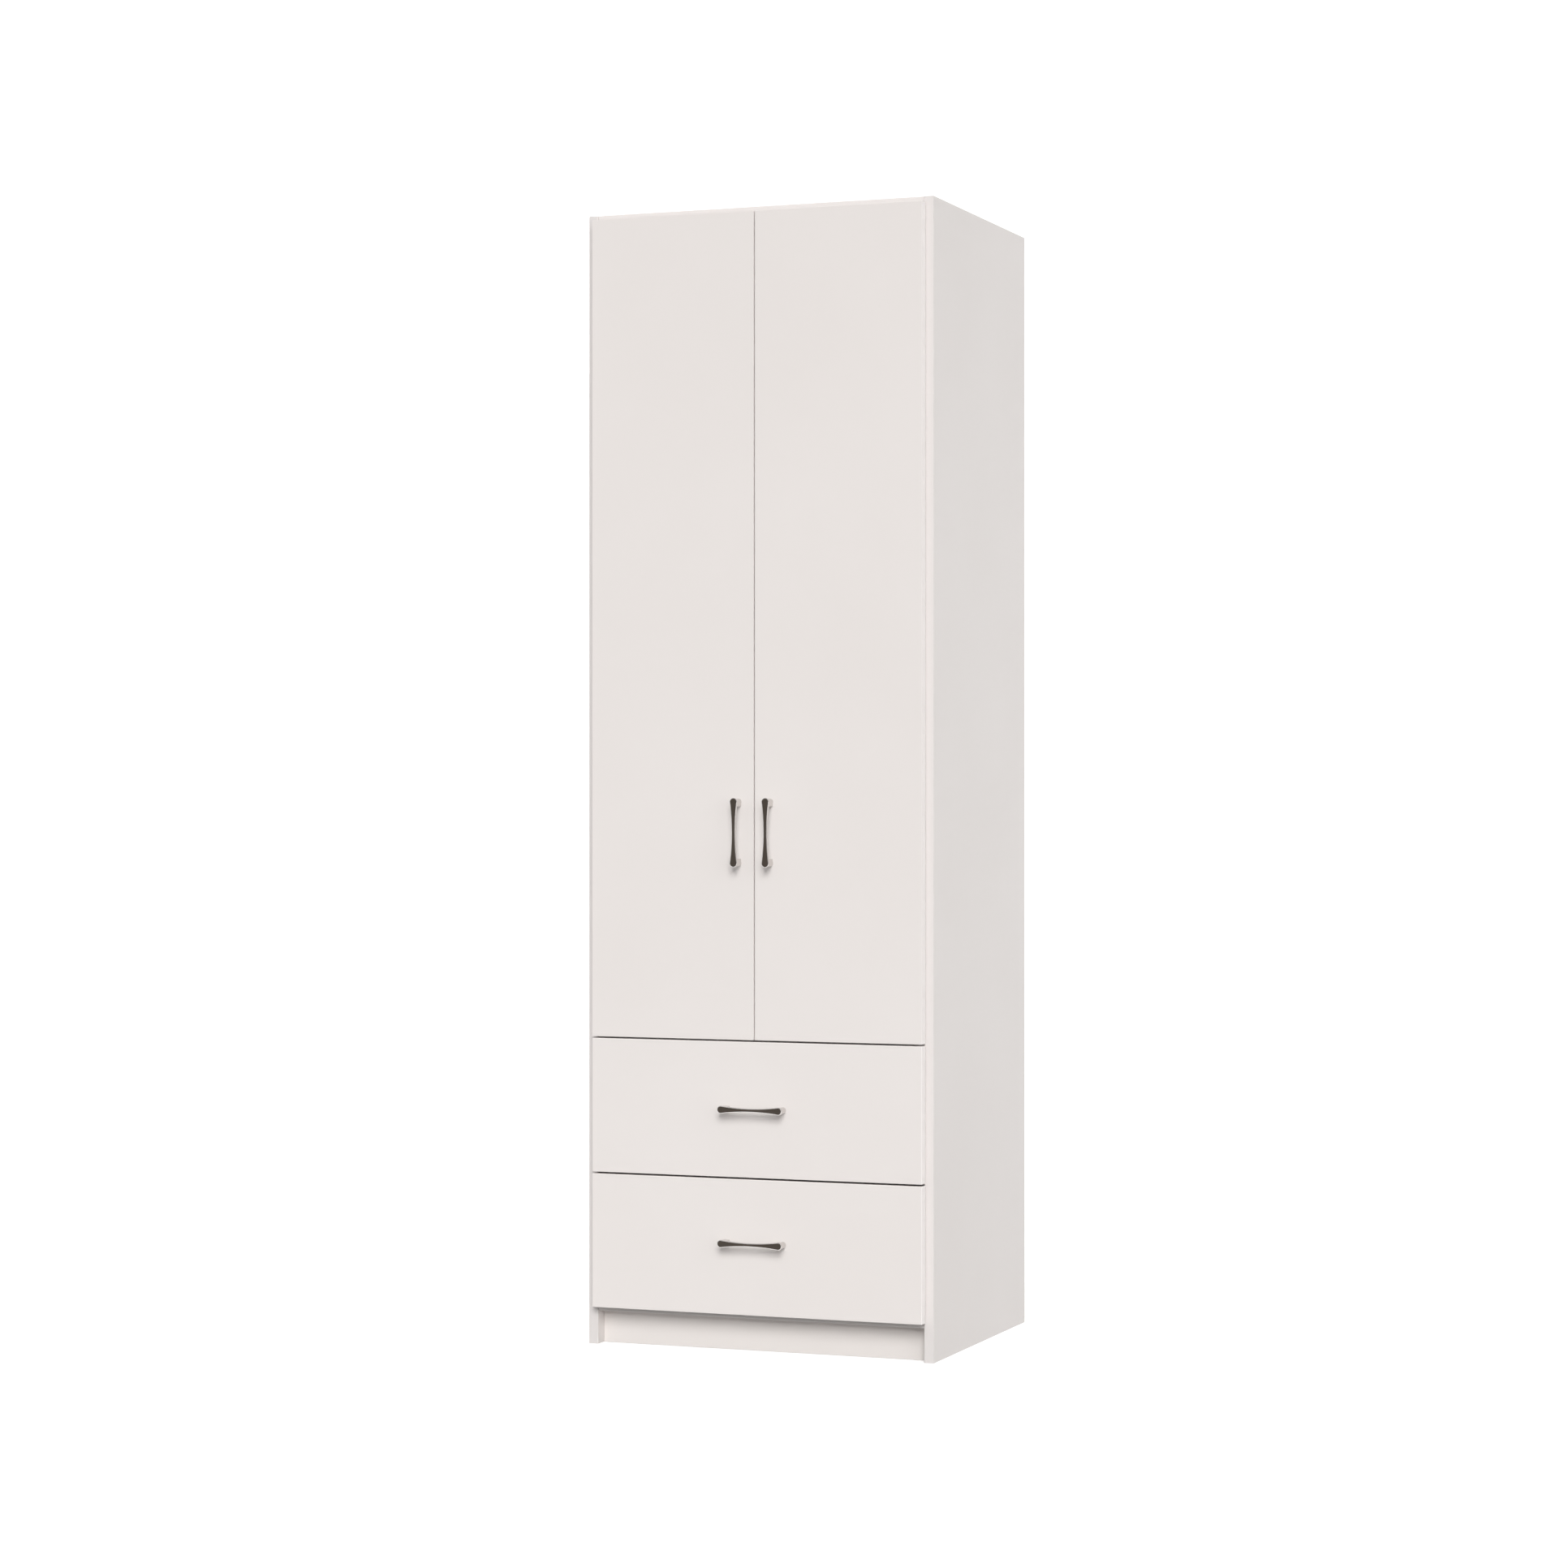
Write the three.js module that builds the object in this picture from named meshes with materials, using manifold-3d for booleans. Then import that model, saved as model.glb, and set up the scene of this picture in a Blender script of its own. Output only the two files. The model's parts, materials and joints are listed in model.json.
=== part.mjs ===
// Two-door wardrobe over two drawers: melamine-faced board, cup hinges, roller slides and bow handles.
// Millimetres, +Z up. The doors face -Y and the left-hand door is on -X. The assembly group carries the
// shift that puts the middle of the whole part's footprint on the origin; inside it y = 0 is the plane
// of the carcass's front edges, +y runs to the back and z = 0 is the floor.
import * as THREE from 'three';
import { mergeVertices } from 'three/addons/utils/BufferGeometryUtils.js';
import Module from 'manifold-3d';

const wasm = await Module();
wasm.setup();

// ---- driving dimensions ------------------------------------------------------------------------

// carcass
const HEIGHT = 1861;
const WIDTH = 600;
const DEPTH = 487;                  // side panels, front edge to rear edge
const BOARD = 16;
const JOINT = 0.25;                 // hairline left at every butt joint
const ARRIS = 0.75;                 // chamfer on the side panels' inner front edge
const RAIL_SETBACK = 1.5;           // horizontal boards stand back from the carcass front plane
const PLINTH_HEIGHT = 55;
const PLINTH_RECESS = 24;
const REAR_PLINTH_INSET = 20;
const BACK = 3;                     // hardboard back
const BACK_REVEAL = 4;              // side panel left bare beside the back
const BACK_SEAM = 1;                // each half of the back stops short of the middle shelf's centre line
const MIDDLE_SHELF_Z = 499.5;       // underside of the fixed shelf between doors and drawers

// fronts
const FRONT_THICK = 16;
const FRONT_GAP = 2;                // air between carcass and the rear face of doors and drawer fronts
const SIDE_REVEAL = 13.5;           // side panel edge left bare outside each front
const DOOR_GAP = 2;                 // between the two doors
const DOOR_BOTTOM = 509;            // fronts stand 3 mm apart, one above the other
const DOOR_TOP = 1851.5;
const UPPER_FRONT = { bottom: 286, top: 506, handle: 397 };
const LOWER_FRONT = { bottom: 63, top: 283, handle: 180 };

// handles
const HANDLE = {
  length: 112,
  pitch: 96,                        // between post centres
  end: 12.4,                        // width of the round ends
  waist: 5.6,                       // width at the middle
  thick: 4.8,                       // bar, front to back
  projection: 23,                   // off the front
  postAlong: 14.2,
  postInset: 0.8,                   // post outline stands in from the bar's
  inlay: 0.8,                       // dark strip let into the front face
  inlayRim: 0.9,                    // bright edge left around the strip
  inlayFit: 0.1,                    // strip smaller than its recess all round
  inlaySeat: 0.05,                  // strip off the recess's floor
};
const DOOR_HANDLE_X = 27.5;
const DOOR_HANDLE_Z = 845;

// hinges, measured from the door's outer edge, its front face and its own pin
const HINGE = {
  pinFromEdge: 8,
  pinFromFace: 7.5,
  cupFromEdge: 21.5,
  cupRadius: 17.5,
  cupDepth: 12.5,
  clearance: 0.3,
  wall: 0.8,
  floor: 1,
  flange: 1,
  flangeHalfHeight: 26,
  flangeInner: 33,                  // from the door's outer edge
  flangeOuter: 4.5,
  pinRadius: 1,
  eyeBore: 1.1,
  eyeRadius: 1.9,
  eyeWidth: 8,
  arm: { near: 10.5, far: 13, link: 2, body: 5, start: 22, end: 84, width: 14, lap: 2 },
  plate: { base: 2.5, start: 37, end: 61, halfHeight: 26, riser: 12, inset: 2, lap: 1 },
};
const HINGE_INSET = 100;            // top and bottom hinges from the door's ends

// drawers
const SLIDE_SPACE = 12.5;           // each side, between carcass and drawer box
const DRAWER_BOARD = 12;
const DRAWER_SIDE_HEIGHT = 160;
const DRAWER_LIFT = 27;             // drawer sides above the lower edge of the front
const DRAWER_LENGTH = 448;          // from the rear face of the front
const DRAWER_BACK_INSET = 14;       // drawer back, in from the rear of the sides
const DRAWER_BASE = 3;
const BASE_INSET = 2;               // drawer bottom, in from the rear of the sides
const GROOVE_UP = 10;
const GROOVE_DEPTH = 6;
const GROOVE_CLEAR = 0.3;

// roller slides; heights are from the lower edge of the drawer side
const SLIDE = {
  sheet: 1.2,
  length: 440,
  cabinetStart: 3,                  // behind the front plane
  cabinetLow: -8,
  cabinetHigh: 30,
  cabinetLipClear: 3,               // lips stop short of the drawer side
  drawerStart: 4,
  drawerEnd: 442,
  drawerHigh: 22,
  drawerLip: 8.5,
};
const ROLLER = {
  front: 9,                         // radius, on the cabinet member
  rear: 10.5,                       // radius, on the drawer member
  width: 6.5,
  off: 1.8,                         // wheel off the sheet it stands on
  frontY: 18,
  frontTop: 20.5,
  rearInset: 2,                     // wheel in from the end of the drawer member
  rearClear: 0.3,                   // wheel above the cabinet member's lower lip
  axle: 2.5,
  axleLength: 3.2,
};

// shelf, rail and pins
const HAT_SHELF_Z = 1544;
const HAT_SHELF_SETBACK = 22;
const HAT_SHELF_CLEAR = 1;          // loose shelf, off the sides and the back
const PIN = { radius: 2.5, out: 8, in: 9, clearance: 0.3 };
const PIN_ROWS = [60, 430];         // behind the front plane
const PIN_Z = HAT_SHELF_Z - PIN.radius - JOINT;
const HOLE_PITCH = 32;
const SPARE_HOLES = [-3, -2, -1, 1, 2, 3];
const RAIL = { radius: 12.5, wall: 1.2, drop: 52, y: 243 };
const SOCKET = { flange: 21, flangeThick: 3, radius: 15.5, depth: 12 };

// ---- shape details -----------------------------------------------------------------------------

const FINE = 48;                    // facets round a large circle
const ROUND = 32;
const SMALL = 16;
const BOW_FACETS = 14;              // along each arc of the handle outline
const OVERCUT = 1;                  // cuts run on past the face they open

// ---- materials ---------------------------------------------------------------------------------

const material = (color, roughness, metalness) => (
  new THREE.MeshStandardMaterial({ color, roughness, metalness })
);
const melamine = () => material('#e9e5e1', 0.45, 0);
const hardboard = () => material('#ece9e4', 0.7, 0);
const chrome = () => material('#c9c9c8', 0.18, 1);
const darkInlay = () => material('#46403a', 0.4, 0.6);
const nickel = () => material('#b9b7b2', 0.3, 1);
const whiteSteel = () => material('#eeeeec', 0.4, 0.1);

// ---- solids ------------------------------------------------------------------------------------

/** A closed three.js geometry as a manifold solid. */
function solid(geometry) {
  const bare = geometry.clone();
  bare.deleteAttribute('normal');
  bare.deleteAttribute('uv');
  const merged = mergeVertices(bare, 1e-5);
  return new wasm.Manifold(new wasm.Mesh({
    numProp: 3,
    vertProperties: new Float32Array(merged.attributes.position.array),
    triVerts: new Uint32Array(merged.index.array),
  }));
}

/** A manifold solid as a three.js geometry. */
function geometryOf(body) {
  const mesh = body.getMesh();
  const geometry = new THREE.BufferGeometry();
  geometry.setAttribute('position', new THREE.BufferAttribute(new Float32Array(mesh.vertProperties), 3));
  geometry.setIndex(new THREE.BufferAttribute(new Uint32Array(mesh.triVerts), 1));
  const flat = geometry.toNonIndexed();
  flat.computeVertexNormals();
  return flat;
}

/** Box geometry between two corners. */
function box(x0, x1, y0, y1, z0, z1) {
  const shape = new THREE.BoxGeometry(Math.abs(x1 - x0), Math.abs(y1 - y0), Math.abs(z1 - z0));
  return shape.translate((x0 + x1) / 2, (y0 + y1) / 2, (z0 + z1) / 2);
}

/** Cylinder geometry from a start point along x, y or z. */
function cylinder(axis, radius, start, length, at, segments = ROUND) {
  const shape = new THREE.CylinderGeometry(radius, radius, length, segments).translate(0, length / 2, 0);
  if (axis === 'x') shape.rotateZ(-Math.PI / 2).translate(start, at[0], at[1]);
  if (axis === 'y') shape.translate(at[0], start, at[1]);
  if (axis === 'z') shape.rotateX(Math.PI / 2).translate(at[0], at[1], start);
  return shape;
}

/** Union of several geometries less several others. */
function carve(adds, cuts = []) {
  let body = solid(adds[0]);
  for (const extra of adds.slice(1)) body = body.add(solid(extra));
  for (const cut of cuts) body = body.subtract(solid(cut));
  return geometryOf(body);
}

const assembly = new THREE.Group();

/** Adds one named sub-part to a group. */
function add(name, geometry, look, parent = assembly) {
  const mesh = new THREE.Mesh(geometry, look);
  mesh.name = name;
  parent.add(mesh);
}

/** The geometry mirrored to the other side of x = 0, still facing outward. */
function sided(geometry, side) {
  if (side < 0) return geometry;
  return geometryOf(solid(geometry).mirror([1, 0, 0]));
}

const SIDES = [['left', -1], ['right', 1]];

// ---- carcass -----------------------------------------------------------------------------------

const HALF = WIDTH / 2;
const INNER = HALF - BOARD;
const FREE = INNER - JOINT;
const BOTTOM_TOP = PLINTH_HEIGHT + BOARD;
const SHELF_TOP = MIDDLE_SHELF_Z + BOARD;
const TOP_UNDER = HEIGHT - BOARD;

/** Left side panel: inner front arris eased, blind holes for the shelf pins. */
function sidePanel() {
  const outline = new THREE.Shape([
    new THREE.Vector2(-HALF, 0),
    new THREE.Vector2(-INNER - ARRIS, 0),
    new THREE.Vector2(-INNER, ARRIS),
    new THREE.Vector2(-INNER, DEPTH),
    new THREE.Vector2(-HALF, DEPTH),
  ]);
  const panel = new THREE.ExtrudeGeometry(outline, { depth: HEIGHT, bevelEnabled: false });
  const holes = [];
  for (const y of PIN_ROWS) {
    for (const step of [0, ...SPARE_HOLES]) {
      const z = PIN_Z + step * HOLE_PITCH;
      const depth = PIN.in + PIN.clearance;
      holes.push(cylinder('x', PIN.radius + PIN.clearance, -INNER - depth, depth + OVERCUT, [y, z], SMALL));
    }
  }
  return carve([panel], holes);
}

for (const [name, side] of SIDES) add(`side_panel_${name}`, sided(sidePanel(), side), melamine());

add('top_panel', box(-FREE, FREE, RAIL_SETBACK, DEPTH, TOP_UNDER, HEIGHT), melamine());
add('bottom_panel', box(-FREE, FREE, RAIL_SETBACK, DEPTH, PLINTH_HEIGHT, BOTTOM_TOP), melamine());
add('middle_shelf', box(-FREE, FREE, RAIL_SETBACK, DEPTH, MIDDLE_SHELF_Z, SHELF_TOP), melamine());
const plinthTop = PLINTH_HEIGHT - JOINT;
const rearPlinth = DEPTH - REAR_PLINTH_INSET;
add('plinth_front', box(-FREE, FREE, PLINTH_RECESS, PLINTH_RECESS + BOARD, 0, plinthTop), melamine());
add('plinth_rear', box(-FREE, FREE, rearPlinth - BOARD, rearPlinth, 0, plinthTop), melamine());

const backHalf = HALF - BACK_REVEAL;
const backSplit = MIDDLE_SHELF_Z + BOARD / 2;
const backBottom = PLINTH_HEIGHT + BACK_REVEAL;
const backPanel = (z0, z1) => box(-backHalf, backHalf, DEPTH + JOINT, DEPTH + BACK, z0, z1);
add('back_panel_upper', backPanel(backSplit + BACK_SEAM, HEIGHT - BACK_REVEAL), hardboard());
add('back_panel_lower', backPanel(backBottom, backSplit - BACK_SEAM), hardboard());

// ---- hat shelf, pins and hanging rail ----------------------------------------------------------

const shelfFree = INNER - HAT_SHELF_CLEAR;
const shelfRear = DEPTH - HAT_SHELF_CLEAR;
const hatShelf = box(-shelfFree, shelfFree, HAT_SHELF_SETBACK, shelfRear, HAT_SHELF_Z, HAT_SHELF_Z + BOARD);
add('hat_shelf', hatShelf, melamine());

for (const [name, side] of SIDES) {
  for (const [place, y] of [['front', PIN_ROWS[0]], ['rear', PIN_ROWS[1]]]) {
    const length = PIN.in + PIN.out;
    const pin = cylinder('x', PIN.radius, -INNER - PIN.in, length, [y, PIN_Z], SMALL);
    add(`shelf_pin_${place}_${name}`, sided(pin, side), nickel());
  }
}

const railZ = HAT_SHELF_Z - RAIL.drop;
const railHalf = INNER - SOCKET.flangeThick - JOINT;
const railAt = [RAIL.y, railZ];
const boreHalf = railHalf + OVERCUT;
const railOuter = cylinder('x', RAIL.radius, -railHalf, 2 * railHalf, railAt, FINE);
const railBore = cylinder('x', RAIL.radius - RAIL.wall, -boreHalf, 2 * boreHalf, railAt, FINE);
add('hanging_rail', carve([railOuter], [railBore]), chrome());

for (const [name, side] of SIDES) {
  const { flange, flangeThick, radius, depth } = SOCKET;
  const disc = cylinder('x', flange, -INNER, flangeThick, railAt, FINE);
  const ring = cylinder('x', radius, -INNER + flangeThick / 2, depth, railAt, FINE);
  const recess = cylinder('x', RAIL.radius + PIN.clearance, -INNER + flangeThick, depth, railAt, FINE);
  add(`rail_socket_${name}`, sided(carve([disc, ring], [recess]), side), chrome());
}

// ---- handles -----------------------------------------------------------------------------------

/** Bow outline in the plane of the front, long axis on x: round ends, arcs drawn in to the waist. */
function bowShape(inset) {
  const half = HANDLE.length / 2 - inset;
  const end = HANDLE.end / 2 - inset;
  const waist = HANDLE.waist / 2 - inset;
  const centre = half - end;
  const sag = end - waist;
  const radius = (centre * centre + sag * sag) / (2 * sag);
  const sweep = Math.asin(centre / radius);
  const shape = new THREE.Shape();
  shape.absarc(centre, 0, end, -Math.PI / 2, Math.PI / 2, false);
  shape.absarc(0, waist + radius, radius, -Math.PI / 2 + sweep, -Math.PI / 2 - sweep, true);
  shape.absarc(-centre, 0, end, Math.PI / 2, 1.5 * Math.PI, false);
  shape.absarc(0, -waist - radius, radius, Math.PI / 2 + sweep, Math.PI / 2 - sweep, true);
  return shape;
}

/** Slab of a bow outline between two distances off the front, which lies in z = 0. */
function bowSlab(inset, z0, z1) {
  const options = { depth: z1 - z0, bevelEnabled: false, curveSegments: BOW_FACETS };
  return new THREE.ExtrudeGeometry(bowShape(inset), options).translate(0, 0, z0);
}

/** Handle body: two posts under the bow bar, with the recess for the dark strip. */
function handleBody() {
  const under = HANDLE.projection - HANDLE.thick;
  const clear = HANDLE.pitch / 2 - HANDLE.postAlong / 2;
  const between = box(-clear, clear, -HANDLE.end, HANDLE.end, -OVERCUT, under);
  const posts = carve([bowSlab(HANDLE.postInset, 0, under + HANDLE.thick / 2)], [between]);
  const recess = bowSlab(HANDLE.inlayRim, HANDLE.projection - HANDLE.inlay, HANDLE.projection + OVERCUT);
  return carve([bowSlab(0, under, HANDLE.projection), posts], [recess]);
}

/** The dark strip, a hair smaller than its recess. */
function handleInlay() {
  const seat = HANDLE.projection - HANDLE.inlay;
  return bowSlab(HANDLE.inlayRim + HANDLE.inlayFit, seat + HANDLE.inlaySeat, HANDLE.projection);
}

/** A handle on a front face: the bar lies along x, or stands up along z. */
function addHandle(name, x, z, upright) {
  const holder = new THREE.Group();
  holder.position.set(x, -FRONT_GAP - FRONT_THICK, z);
  holder.rotation.set(Math.PI / 2, 0, 0);
  const bar = new THREE.Group();
  if (upright) bar.rotation.z = Math.PI / 2;
  add(`handle_${name}`, handleBody(), chrome(), bar);
  add(`handle_inlay_${name}`, handleInlay(), darkInlay(), bar);
  holder.add(bar);
  assembly.add(holder);
}

// ---- doors and hinges --------------------------------------------------------------------------

const DOOR_EDGE = -HALF + SIDE_REVEAL;
const DOOR_REAR = -FRONT_GAP;
const DOOR_FACE = -FRONT_GAP - FRONT_THICK;
const PIN_X = DOOR_EDGE + HINGE.pinFromEdge;
const PIN_Y = DOOR_FACE + HINGE.pinFromFace;
const CUP_X = DOOR_EDGE + HINGE.cupFromEdge;
const HINGES = [
  ['bottom', DOOR_BOTTOM + HINGE_INSET],
  ['middle', (DOOR_BOTTOM + DOOR_TOP) / 2],
  ['top', DOOR_TOP - HINGE_INSET],
];

/** Left door leaf with its blind cup bores. */
function doorLeaf() {
  const leaf = box(DOOR_EDGE, -DOOR_GAP / 2, DOOR_FACE, DOOR_REAR, DOOR_BOTTOM, DOOR_TOP);
  const bores = HINGES.map(([, z]) => (
    cylinder('y', HINGE.cupRadius, DOOR_REAR - HINGE.cupDepth, HINGE.cupDepth + OVERCUT, [CUP_X, z], FINE)
  ));
  return carve([leaf], bores);
}

/** Left hinge cup: flanged pot let into the door, with the pin across its pocket. */
function hingeCup(z) {
  const { clearance, wall, floor, flange } = HINGE;
  const bottom = DOOR_REAR - HINGE.cupDepth + clearance;
  const outer = HINGE.cupRadius - clearance;
  const inner = outer - wall;
  const x0 = DOOR_EDGE + HINGE.flangeOuter;
  const x1 = DOOR_EDGE + HINGE.flangeInner;
  const high = HINGE.flangeHalfHeight;
  const rear = DOOR_REAR + JOINT;
  const pot = cylinder('y', outer, bottom, rear - bottom + flange / 2, [CUP_X, z], FINE);
  const plate = box(x0, x1, rear, rear + flange, z - high, z + high);
  const pocketDepth = rear + flange - bottom - floor + OVERCUT;
  const pocket = cylinder('y', inner, bottom + floor, pocketDepth, [CUP_X, z], FINE);
  const reach = Math.sqrt(inner * inner - (CUP_X - PIN_X) ** 2) + wall / 2;
  const pin = cylinder('z', HINGE.pinRadius, z - reach, 2 * reach, [PIN_X, PIN_Y], SMALL);
  const shell = solid(pot).add(solid(plate)).subtract(solid(pocket));
  return geometryOf(shell.add(solid(pin).intersect(solid(pot))));
}

/** Left hinge arm: eye on the pin, cranked link, arm body and the plate on the side panel. */
function hingeArm(z) {
  const { arm, plate, eyeWidth } = HINGE;
  const half = eyeWidth / 2;
  const x = (u) => PIN_X + u;
  const y = (v) => PIN_Y + v;
  const boreWidth = eyeWidth + 2 * OVERCUT;
  const thin = arm.link / 2;
  const eye = cylinder('z', HINGE.eyeRadius, z - half, eyeWidth, [PIN_X, PIN_Y]);
  const bore = cylinder('z', HINGE.eyeBore, z - boreWidth / 2, boreWidth, [PIN_X, PIN_Y]);
  const link = box(x(0), x(arm.far), y(-thin), y(thin), z - half, z + half);
  const leg = box(x(arm.near), x(arm.far), y(-thin), y(arm.start + arm.lap), z - half, z + half);
  const wide = arm.width / 2;
  const body = box(x(arm.body), x(arm.far), y(arm.start), y(arm.end), z - wide, z + wide);
  const tall = plate.halfHeight;
  const riser = plate.riser / 2;
  const base = box(-INNER, -INNER + plate.base, y(plate.start), y(plate.end), z - tall, z + tall);
  const postStart = y(plate.start + plate.inset);
  const postEnd = y(plate.end - plate.inset);
  const post = box(-INNER, x(arm.body + plate.lap), postStart, postEnd, z - riser, z + riser);
  return carve([eye, link, leg, body, base, post], [bore]);
}

for (const [name, side] of SIDES) {
  add(`door_${name}`, sided(doorLeaf(), side), melamine());
  addHandle(`door_${name}`, side * DOOR_HANDLE_X, DOOR_HANDLE_Z, true);
  for (const [place, z] of HINGES) {
    add(`hinge_cup_${place}_${name}`, sided(hingeCup(z), side), nickel());
    add(`hinge_arm_${place}_${name}`, sided(hingeArm(z), side), nickel());
  }
}

// ---- drawers -----------------------------------------------------------------------------------

const BOX_HALF = INNER - SLIDE_SPACE;
const BOX_INNER = BOX_HALF - DRAWER_BOARD;
const BOX_REAR = -FRONT_GAP + DRAWER_LENGTH;
const BASE_HALF = BOX_INNER + GROOVE_DEPTH - GROOVE_CLEAR;

/** Groove cut for the drawer bottom, from y0 to y1, out to a given half width. */
function groove(half, y0, y1, z) {
  return box(-half, half, y0, y1, z - GROOVE_CLEAR, z + DRAWER_BASE + GROOVE_CLEAR);
}

/** Left cabinet member: channel on the side panel, with the fixed front roller. */
function cabinetSlide(z) {
  const { sheet, cabinetStart: start } = SLIDE;
  const end = start + SLIDE.length;
  const low = z + SLIDE.cabinetLow;
  const high = z + SLIDE.cabinetHigh;
  const inside = -BOX_HALF - SLIDE.cabinetLipClear;
  const face = -INNER + sheet;
  const web = box(-INNER, face, start, end, low, high);
  const foot = box(-INNER, inside, start, end, low, low + sheet);
  const cap = box(-INNER, inside, start, end, high - sheet, high);
  const at = [ROLLER.frontY, z + ROLLER.frontTop - ROLLER.front];
  const wheel = cylinder('x', ROLLER.front, face + ROLLER.off, ROLLER.width, at);
  const axle = cylinder('x', ROLLER.axle, face - sheet / 2, ROLLER.axleLength, at, SMALL);
  return carve([web, foot, cap, wheel, axle]);
}

/** Left drawer member: angle under the drawer side, running lip and the rear roller. */
function drawerSlide(z) {
  const { sheet, drawerStart: start, drawerEnd: end } = SLIDE;
  const outer = -BOX_HALF - JOINT;
  const face = outer - sheet;
  const low = z - sheet - JOINT;
  const high = z + SLIDE.drawerHigh;
  const web = box(face, outer, start, end, low, high);
  const foot = box(face, -BOX_INNER, start, end, low, low + sheet);
  const lip = box(outer - SLIDE.drawerLip, outer, start, end, high - sheet, high);
  const treadZ = z + SLIDE.cabinetLow + sheet + ROLLER.rearClear;
  const at = [end - ROLLER.rear - ROLLER.rearInset, treadZ + ROLLER.rear];
  const wheel = cylinder('x', ROLLER.rear, face - ROLLER.off - ROLLER.width, ROLLER.width, at);
  const axleStart = face + sheet / 2 - ROLLER.axleLength;
  const axle = cylinder('x', ROLLER.axle, axleStart, ROLLER.axleLength, at, SMALL);
  return carve([web, foot, lip, wheel, axle]);
}

for (const [name, front] of [['upper', UPPER_FRONT], ['lower', LOWER_FRONT]]) {
  const sideBottom = front.bottom + DRAWER_LIFT;
  const sideTop = sideBottom + DRAWER_SIDE_HEIGHT;
  const baseZ = sideBottom + GROOVE_UP;
  const edge = HALF - SIDE_REVEAL;

  const panel = box(-edge, edge, DOOR_FACE, DOOR_REAR, front.bottom, front.top);
  const housing = groove(BASE_HALF + GROOVE_CLEAR, DOOR_REAR - GROOVE_DEPTH, DOOR_REAR + OVERCUT, baseZ);
  add(`drawer_front_${name}`, carve([panel], [housing]), melamine());
  addHandle(`drawer_${name}`, 0, front.handle, false);

  const rear = DOOR_REAR + JOINT;
  const board = box(-BOX_HALF, -BOX_INNER, rear, BOX_REAR, sideBottom, sideTop);
  const slot = groove(BASE_HALF + GROOVE_CLEAR, rear - OVERCUT, BOX_REAR + OVERCUT, baseZ);
  for (const [hand, side] of SIDES) {
    add(`drawer_side_${name}_${hand}`, sided(carve([board], [slot]), side), melamine());
    add(`slide_cabinet_${name}_${hand}`, sided(cabinetSlide(sideBottom), side), whiteSteel());
    add(`slide_drawer_${name}_${hand}`, sided(drawerSlide(sideBottom), side), whiteSteel());
  }

  const backFree = BOX_INNER - JOINT;
  const backRear = BOX_REAR - DRAWER_BACK_INSET;
  const baseTop = baseZ + DRAWER_BASE;
  const backZ = baseTop + GROOVE_CLEAR;
  const backBoard = box(-backFree, backFree, backRear - DRAWER_BOARD, backRear, backZ, sideTop);
  add(`drawer_back_${name}`, backBoard, melamine());
  const baseFront = DOOR_REAR - GROOVE_DEPTH + GROOVE_CLEAR;
  const baseRear = BOX_REAR - BASE_INSET;
  add(`drawer_base_${name}`, box(-BASE_HALF, BASE_HALF, baseFront, baseRear, baseZ, baseTop), hardboard());
}

// ---- placing -----------------------------------------------------------------------------------

// The handles' faces are the foremost plane and the hardboard back is the rearmost.
const foremost = DOOR_FACE - HANDLE.projection;
const rearmost = DEPTH + BACK;
assembly.position.y = -(foremost + rearmost) / 2;

const wardrobe = new THREE.Group();
wardrobe.add(assembly);

export default wardrobe;
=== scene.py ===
"""Looks of the two-door wardrobe: eased boards, melamine, chrome handles with a painted dark reflection in
their face, hinges, slides and screws.
"""

import json
import math

import bmesh
import bpy
from mathutils import Matrix, Vector

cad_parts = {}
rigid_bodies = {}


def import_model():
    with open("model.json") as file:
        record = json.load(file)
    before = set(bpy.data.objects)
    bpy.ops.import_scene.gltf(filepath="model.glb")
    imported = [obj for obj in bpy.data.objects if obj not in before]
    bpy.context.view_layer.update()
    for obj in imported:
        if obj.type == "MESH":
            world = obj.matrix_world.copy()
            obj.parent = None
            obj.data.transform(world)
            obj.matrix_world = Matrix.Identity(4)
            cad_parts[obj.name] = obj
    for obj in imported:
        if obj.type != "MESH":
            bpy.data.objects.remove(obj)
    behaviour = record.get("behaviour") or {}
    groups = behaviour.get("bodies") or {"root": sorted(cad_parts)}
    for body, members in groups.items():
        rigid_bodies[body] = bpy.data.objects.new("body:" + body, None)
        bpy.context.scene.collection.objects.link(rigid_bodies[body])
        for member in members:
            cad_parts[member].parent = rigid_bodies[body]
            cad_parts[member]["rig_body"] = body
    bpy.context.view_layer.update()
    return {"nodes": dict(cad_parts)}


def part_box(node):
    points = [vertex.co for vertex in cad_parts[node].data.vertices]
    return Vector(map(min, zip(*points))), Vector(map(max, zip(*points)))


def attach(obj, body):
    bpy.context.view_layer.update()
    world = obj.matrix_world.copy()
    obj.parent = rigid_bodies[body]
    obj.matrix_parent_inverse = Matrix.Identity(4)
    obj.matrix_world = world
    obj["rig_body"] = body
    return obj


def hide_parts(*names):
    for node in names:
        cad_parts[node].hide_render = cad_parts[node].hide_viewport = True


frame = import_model()

# ---- sizes, in metres ----------------------------------------------------------------------------

FRONT_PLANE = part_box("side_panel_left")[0].y      # plane of the carcass's front edges
DOOR_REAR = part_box("door_left")[1].y
BACK_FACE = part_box("back_panel_upper")[1].y

SIDES = (("left", -1), ("right", 1))
DRAWERS = ("upper", "lower")
HINGE_PLACES = ("bottom", "middle", "top")

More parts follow.
